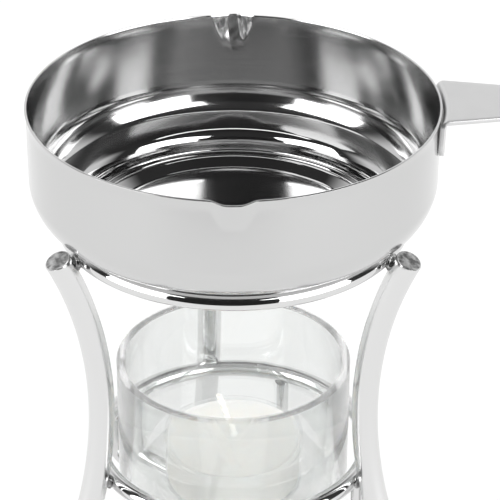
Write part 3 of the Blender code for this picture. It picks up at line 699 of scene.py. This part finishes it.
def bend_leg(side):
    """A leg: thick rod bent to a long arc, cut square at the top and level at the foot."""
    bm = bmesh.new()
    made = bmesh.ops.create_circle(bm, segments=LEG_SIDES, radius=LEG_R)
    top = asin((LEG_TOP_Z - LEG_WAIST_Z) / LEG_BEND_R)
    foot = asin((LEG_WAIST_Z + LEG_OVERRUN) / LEG_BEND_R)
    # The arc lies in the XZ plane with its centre at +X, and starts at the top.
    bmesh.ops.translate(bm, verts=bm.verts, vec=(LEG_AXIS_R - LEG_BEND_R, 0, LEG_WAIST_Z))
    centre = (LEG_AXIS_R, 0, LEG_WAIST_Z)
    bmesh.ops.rotate(bm, verts=bm.verts, cent=centre, matrix=Matrix.Rotation(top, 3, "Y"))
    loop = made["verts"] + bm.edges[:]
    run_rod(bm, loop, [("bend", centre, (0, 1, 0), -(top + foot), LEG_STEPS)])
    bmesh.ops.bisect_plane(bm, geom=bm.verts[:] + bm.edges[:] + bm.faces[:], dist=TINY,
                           plane_co=(0, 0, 0), plane_no=(0, 0, -1), clear_outer=True)
    close_ends(bm)
    bmesh.ops.recalc_face_normals(bm, faces=bm.faces)
    ends = [e for e in bm.edges if e.calc_face_angle(0.0) > radians(45)]
    bmesh.ops.bevel(bm, geom=ends, offset=LEG_END_SOFT, segments=2, profile=0.5, affect="EDGES",
                    material=-1)
    # Only the caps have more than a few corners.
    for face in bm.faces:
        if len(face.verts) > 8:
            face.material_index = 1
    turn = Matrix.Rotation(pi / 2 - radians(LEG_AZIMUTHS[side]), 3, "Z")
    bmesh.ops.rotate(bm, verts=bm.verts, cent=(0, 0, 0), matrix=turn)
    finish_piece("leg_rod_" + side, bm, [LEG_POLISHED, SAWN_END], "stand", ["leg_" + side],
                 40.0)


def bend_cradle(name, azimuth, bow, node):
    """A cradle wire: down from the middle ring, under the cup and up again. bow is how much
    lower it passes at its middle."""
    bm = bmesh.new()
    made = bmesh.ops.create_circle(bm, segments=WIRE_SIDES, radius=WIRE_R)
    top = MIDDLE_RING_Z - ROD_R
    low = UPPER_WIRE_Z
    reach = MIDDLE_RING_R
    b = CRADLE_BEND_R
    flat = reach - b
    bmesh.ops.translate(bm, verts=bm.verts, vec=(reach, 0, top))
    run_rod(bm, made["verts"] + bm.edges[:], [
        ("straight", (0, 0, low + b - top), WIRE_DROP_STEPS),
        ("bend", (flat, 0, low + b), (0, 1, 0), pi / 2, WIRE_BEND_STEPS),
        ("straight", (-2 * flat, 0, 0), WIRE_SPAN_STEPS),
        ("bend", (-flat, 0, low + b), (0, 1, 0), pi / 2, WIRE_BEND_STEPS),
        ("straight", (0, 0, top - low - b), WIRE_DROP_STEPS)])
    close_ends(bm)
    bmesh.ops.recalc_face_normals(bm, faces=bm.faces)
    for vert in bm.verts:
        if vert.co.z < low + WIRE_R * 1.01:
            vert.co.z -= bow * ease(1 - abs(vert.co.x) / flat)
    turn = Matrix.Rotation(pi / 2 - radians(azimuth), 3, "Z")
    bmesh.ops.rotate(bm, verts=bm.verts, cent=(0, 0, 0), matrix=turn)
    finish_piece(name, bm, [ROD_POLISHED], "stand", [node], 40.0)


def weld(name, spot, size, azimuth, node):
    """A weld pool: a small flattened drop, rippled where the metal froze."""
    bm = bmesh.new()
    bmesh.ops.create_icosphere(bm, subdivisions=4, radius=1.0)
    for vert in bm.verts:
        ripple = 1 + WELD_RIPPLE * sin(vert.co.z * 9.0) * cos(vert.co.x * 5.0)
        vert.co = Vector((vert.co.x * size[0], vert.co.y * size[1], vert.co.z * size[2])) * ripple
    bmesh.ops.rotate(bm, verts=bm.verts, cent=(0, 0, 0),
                     matrix=Matrix.Rotation(-radians(azimuth), 3, "Z"))
    finish_piece(name, bm, [WELD_POOL], "stand", [node], 60.0, AXIS + spot)


def lay_welds():
    """Pools in the nip of each leg and ring, and collars at the cradle wires' ends."""
    reach = LEG_BEND_R + LEG_R + ROD_R + GAP
    share = (reach - ROD_R) / reach
    for ring, ring_r, ring_z in (("top", TOP_RING_R, TOP_RING_Z),
                                 ("middle", MIDDLE_RING_R, MIDDLE_RING_Z)):
        for side, azimuth in LEG_AZIMUTHS.items():
            spot = outward(azimuth) * (LEG_AXIS_R + (ring_r - LEG_AXIS_R) * share)
            spot.z = LEG_WAIST_Z + (ring_z - LEG_WAIST_Z) * share
            weld("weld_pool_%s_%s" % (ring, side), spot, WELD_POOL_SIZE, azimuth,
                 "%s_weld_%s" % (ring, side))
    for place, azimuth in (("upper_a", CRADLE_AZ), ("lower_a", CRADLE_AZ + 90),
                           ("upper_b", CRADLE_AZ + 180), ("lower_b", CRADLE_AZ + 270)):
        spot = outward(azimuth) * MIDDLE_RING_R
        spot.z = MIDDLE_RING_Z - ROD_R
        weld("weld_collar_" + place, spot, WELD_COLLAR_SIZE, azimuth,
             "cradle_weld_" + place)


def press_cup():
    """The glass cup: heavy base with a shallow hollow, straight wall, fire-polished rim."""
    inner = CUP_R - CUP_WALL
    top = CUP_Z + CUP_H
    foot = CUP_R - CUP_FOOT_W
    hollow = CUP_Z + CUP_RECESS
    bm = outline([(0.0, hollow), (foot - CUP_RECESS_RUN, hollow, CUP_FOOT_SOFT, 4),
                  (foot, CUP_Z, CUP_FOOT_SOFT, 4), (CUP_R, CUP_Z, CUP_CORNER, 12),
                  (CUP_R, top, CUP_RIM_SOFT, 8), (inner, top, CUP_RIM_SOFT, 8),
                  (inner, CUP_Z + CUP_BASE, CUP_INSIDE_CORNER, 10), (0.0, CUP_Z + CUP_BASE)])
    spin_round(bm, CUP_STEPS)
    # The rounded rim and the base are the edge glass, the straight wall is the clear one.
    for face in bm.faces:
        z = face.calc_center_median().z
        if z > top - CUP_WALL * 0.6 or z < CUP_Z + CUP_BASE + CUP_INSIDE_CORNER:
            face.material_index = 1
    finish_piece("cup_glass", bm, [CLEAR_GLASS, GLASS_EDGE], "glass", ["glass_cup"],
                 50.0)


def form_shell():
    """The tea light's shell: thin, with a small lip round its edge."""
    r = TEA_R - SHELL_LIP
    top = TEA_Z + TEA_H
    bm = outline([(0.0, TEA_Z), (r, TEA_Z, 0.0012, 6), (r, top - 0.0010, 0.0003, 2),
                  (TEA_R, top - 0.0008, 0.0001, 2), (TEA_R, top, 0.0003, 4),
                  (r - SHELL_T, top, 0.0002, 3), (r - SHELL_T, TEA_Z + SHELL_T, 0.0009, 5),
                  (0.0, TEA_Z + SHELL_T)])
    spin_round(bm, TEA_STEPS)
    finish_piece("shell_clear", bm, [CLEAR_SHELL], "tealight", ["tealight_shell"],
                 40.0)


def pour_wax():
    """The wax: level, drawn up a little at the shell, sunk round the wick and up on it."""
    bm = outline([(0.0, WAX_FOOT_Z), (WAX_R, WAX_FOOT_Z, 0.0008, 4),
                  (WAX_R, WAX_Z + 0.0003, 0.0001, 2), (WAX_R - 0.0008, WAX_Z - 0.0002, 0.0010, 5),
                  (0.0065, WAX_Z - 0.0001, 0.004, 6), (0.0030, WAX_Z - 0.0007, 0.0015, 6),
                  (WICK_R + 0.0004, WAX_Z - 0.0006, 0.0008, 5),
                  (WICK_R * 0.9, WAX_Z + WAX_CLIMB), (0.0, WAX_Z + WAX_CLIMB)])
    spin_round(bm, TEA_STEPS)
    for vert in bm.verts:
        if vert.co.z > (WAX_FOOT_Z + WAX_Z) / 2:
            vert.co.z += WAX_RIPPLE * sin(vert.co.x * 620) * cos(vert.co.y * 540)
    finish_piece("wax_fill", bm, [WHITE_WAX], "tealight", ["tealight_wax"], 50.0)


def set_wick():
    """The wick, with a three-strand twist, upright through the wax and leaning above it."""
    bm = bmesh.new()
    made = bmesh.ops.create_circle(bm, segments=WICK_SIDES, radius=WICK_R)
    bmesh.ops.translate(bm, verts=bm.verts, vec=(0, 0, WICK_FOOT_Z))
    run_rod(bm, made["verts"] + bm.edges[:], [("straight", (0, 0, WICK_LENGTH), WICK_STEPS)])
    close_ends(bm)
    bmesh.ops.recalc_face_normals(bm, faces=bm.faces)
    for vert in bm.verts:
        t = max(0.0, (vert.co.z - WAX_Z) / WICK_TALL)
        twist = 1 + WICK_TWIST * sin(atan2(vert.co.y, vert.co.x) * 3 + vert.co.z * 5200)
        vert.co.x = vert.co.x * twist + WICK_LEAN[0] * t ** 1.3
        vert.co.y = vert.co.y * twist + WICK_LEAN[1] * t ** 1.3
    finish_piece("wick_braid", bm, [COTTON], "tealight", ["tealight_wick"], 50.0)


def stamp_tab():
    """The wick's tin foot: a thin disc with a drawn neck."""
    low = WICK_FOOT_Z
    bm = outline([(TAB_BORE, low), (TAB_R, low, 0.0001, 2), (TAB_R, low + TAB_T, 0.0001, 2),
                  (TAB_NECK + 0.0001, low + TAB_T, 0.0003, 4), (TAB_NECK, low + TAB_H, 0.0001, 2),
                  (TAB_BORE, low + TAB_H)], closed=True)
    spin_round(bm, TAB_STEPS)
    finish_piece("wick_foot", bm, [TIN_FOOT], "tealight", ["wick_tab"], 40.0)


draw_pan()
bend_handle()
bend_ring("ring_top", TOP_RING_R, TOP_RING_Z, ["top_ring"])
bend_ring("ring_middle", MIDDLE_RING_R, MIDDLE_RING_Z, ["middle_ring"], butt=15.0)
for leg_side in LEG_AZIMUTHS:
    bend_leg(leg_side)
bend_cradle("cradle_over", CRADLE_AZ, 0.0, "cradle_wire_upper")
bend_cradle("cradle_under", CRADLE_AZ + 90, UPPER_WIRE_Z - LOWER_WIRE_Z, "cradle_wire_lower")
lay_welds()
press_cup()
form_shell()
pour_wax()
set_wick()
stamp_tab()


# Studio levels: what metal mirrors of the unlit room and of the ceiling, the light that the
# white surroundings throw on matt surfaces, and how much of the floor's shade is plain white.
ROOM = 0.04
CEILING = 0.03
AIR = 0.95
FLOOR_GLOW = 0.85
FLOOR_HALF = 4.0
FLOOR_DROP = 0.0002
# Parts of a direction's length: how far back the sweep is fully white, between which heights
# it ends, and between which the ceiling begins.
SWEEP_BACK = 0.45
SWEEP_END = (0.62, 0.78)
CEILING_START = (0.80, 0.92)


def white_floor():
    """A pale floor that shows white to the camera, in metal and through glass, and keeps soft
    shadows."""
    bm = bmesh.new()
    bmesh.ops.create_grid(bm, x_segments=1, y_segments=1, size=FLOOR_HALF)
    mesh = bpy.data.meshes.new("floor")
    bm.to_mesh(mesh)
    bm.free()
    floor = bpy.data.objects.new("floor", mesh)
    floor.location = (0, 0, -FLOOR_DROP)
    bpy.context.scene.collection.objects.link(floor)
    material = bpy.data.materials.new("studio_floor_white")
    material.use_nodes = True
    tree = material.node_tree
    tree.nodes.clear()
    path = add(tree, "ShaderNodeLightPath")
    seen = add(tree, "ShaderNodeMath", {0: path.outputs["Is Camera Ray"],
                                        1: path.outputs["Is Glossy Ray"]}, operation="MAXIMUM")
    seen = add(tree, "ShaderNodeMath", {0: seen.outputs[0],
                                        1: path.outputs["Is Transmission Ray"]},
               operation="MAXIMUM")
    share = add(tree, "ShaderNodeMath", {0: seen.outputs[0], 1: FLOOR_GLOW},
                operation="MULTIPLY")
    matt = add(tree, "ShaderNodeBsdfDiffuse", {"Color": linear("#F2F2F1")})
    glow = add(tree, "ShaderNodeEmission", {"Color": linear("#FFFFFF"), "Strength": 1.0})
    mixed = add(tree, "ShaderNodeMixShader", {0: share.outputs[0], 1: matt.outputs[0],
                                              2: glow.outputs[0]})
    add(tree, "ShaderNodeOutputMaterial", {"Surface": mixed.outputs[0]})
    mesh.materials.append(material)


def studio_world():
    """White all round to the camera and through glass. Metal sees a white sweep behind the
    object, the unlit room in front and a ceiling that is a little darker still."""
    world = bpy.data.worlds.new("studio")
    world.use_nodes = True
    bpy.context.scene.world = world
    tree = world.node_tree
    tree.nodes.clear()
    place = add(tree, "ShaderNodeTexCoord")
    parts = add(tree, "ShaderNodeSeparateXYZ", {0: place.outputs["Generated"]})
    behind = add(tree, "ShaderNodeMapRange", {0: parts.outputs[1], 1: 0.0, 2: SWEEP_BACK,
                                              3: 0.0, 4: 1.0}, interpolation_type="SMOOTHSTEP")
    low = add(tree, "ShaderNodeMapRange", {0: parts.outputs[2], 1: SWEEP_END[0],
                                           2: SWEEP_END[1], 3: 1.0, 4: 0.0},
              interpolation_type="SMOOTHSTEP")
    ceiling = add(tree, "ShaderNodeMapRange", {0: parts.outputs[2], 1: CEILING_START[0],
                                               2: CEILING_START[1], 3: ROOM, 4: CEILING},
                  interpolation_type="SMOOTHSTEP")
    sweep = add(tree, "ShaderNodeMath", {0: behind.outputs[0], 1: low.outputs[0]},
                operation="MULTIPLY")
    room = add(tree, "ShaderNodeMath", {0: sweep.outputs[0], 1: ceiling.outputs[0]},
               operation="MAXIMUM")
    path = add(tree, "ShaderNodeLightPath")
    shiny = add(tree, "ShaderNodeMath", {0: path.outputs["Is Glossy Ray"],
                                         1: path.outputs["Is Transmission Ray"]},
                operation="SUBTRACT", use_clamp=True)
    white = add(tree, "ShaderNodeMapRange", {0: path.outputs["Is Diffuse Ray"],
                                             3: 1.0, 4: AIR})
    level = add(tree, "ShaderNodeMix", {0: shiny.outputs[0], 2: white.outputs[0],
                                        3: room.outputs[0]})
    back = add(tree, "ShaderNodeBackground", {"Color": linear("#FFFFFF"),
                                              "Strength": level.outputs[0]})
    add(tree, "ShaderNodeOutputWorld", {"Surface": back.outputs[0]})


# About where the camera's line of sight crosses the pan's axis.
AIM = AXIS + Vector((0, 0, 0.078735))


def from_camera_side(azimuth, elevation, distance):
    """A place round the object: azimuth from the camera's side, positive to its right."""
    a, e = radians(azimuth), radians(elevation)
    return AIM + Vector((sin(a) * cos(e), -cos(a) * cos(e), sin(e))) * distance


def softbox(name, azimuth, elevation, distance, width, height, power):
    """A rectangular softbox. It shows in metal and through glass, but not to the camera."""
    lamp = bpy.data.lights.new(name, "AREA")
    lamp.shape, lamp.size, lamp.size_y, lamp.energy = "RECTANGLE", width, height, power
    box = bpy.data.objects.new(name, lamp)
    box.location = from_camera_side(azimuth, elevation, distance)
    box.rotation_euler = (AIM - box.location).to_track_quat("-Z", "Y").to_euler()
    box.visible_camera = False
    bpy.context.scene.collection.objects.link(box)


def black_card(name, azimuth, elevation, distance, width, height):
    """A black card that only metal and glass mirror, as the dark side of the studio."""
    bm = bmesh.new()
    bmesh.ops.create_grid(bm, x_segments=1, y_segments=1, size=0.5)
    bmesh.ops.scale(bm, verts=bm.verts, vec=(width, height, 1.0))
    mesh = bpy.data.meshes.new(name)
    bm.to_mesh(mesh)
    bm.free()
    mesh.materials.append(new_material("studio_black_card", Base_Color=linear("#0B0B0B"),
                                       Roughness=0.9)[0])
    card = bpy.data.objects.new(name, mesh)
    card.location = from_camera_side(azimuth, elevation, distance)
    card.rotation_euler = (AIM - card.location).to_track_quat("Z", "Y").to_euler()
    for ray in ("camera", "diffuse", "transmission", "shadow", "volume_scatter"):
        setattr(card, "visible_" + ray, False)
    bpy.context.scene.collection.objects.link(card)


white_floor()
studio_world()
# Azimuth and elevation in degrees, distance, width and height in metres, power in watts.
softbox("softbox_right", 49.0, 18.0, 1.3, 1.22, 1.42, 28.5)
softbox("softbox_left", -60.0, 18.0, 1.3, 1.02, 1.42, 24.0)
softbox("softbox_top", 0.0, 86.0, 1.3, 1.50, 0.11, 1.4)
softbox("softbox_back_left", -126.0, 62.0, 1.3, 0.50, 0.45, 1.0)
black_card("card_front", -6.0, 7.0, 0.30, 0.375, 0.41)

# The camera stands where the photograph's rim, ring and cup ellipses put it.
CAMERA_Y, CAMERA_Z = -0.50054, 0.36903
CAMERA_TILT = radians(59.887)
LENS_MM, SENSOR_MM = 167.62, 36.0
LENS_SHIFT = 0.0334
NEAREST = 0.01
lens = bpy.data.cameras.new("camera")
lens.lens, lens.sensor_width, lens.sensor_fit = LENS_MM, SENSOR_MM, "HORIZONTAL"
lens.shift_x, lens.clip_start = LENS_SHIFT, NEAREST
camera = bpy.data.objects.new("camera", lens)
camera.location = AXIS + Vector((0, CAMERA_Y, CAMERA_Z))
camera.rotation_euler = (CAMERA_TILT, 0, 0)
bpy.context.scene.collection.objects.link(camera)
bpy.context.scene.camera = camera
bpy.context.scene.view_settings.view_transform = "Standard"
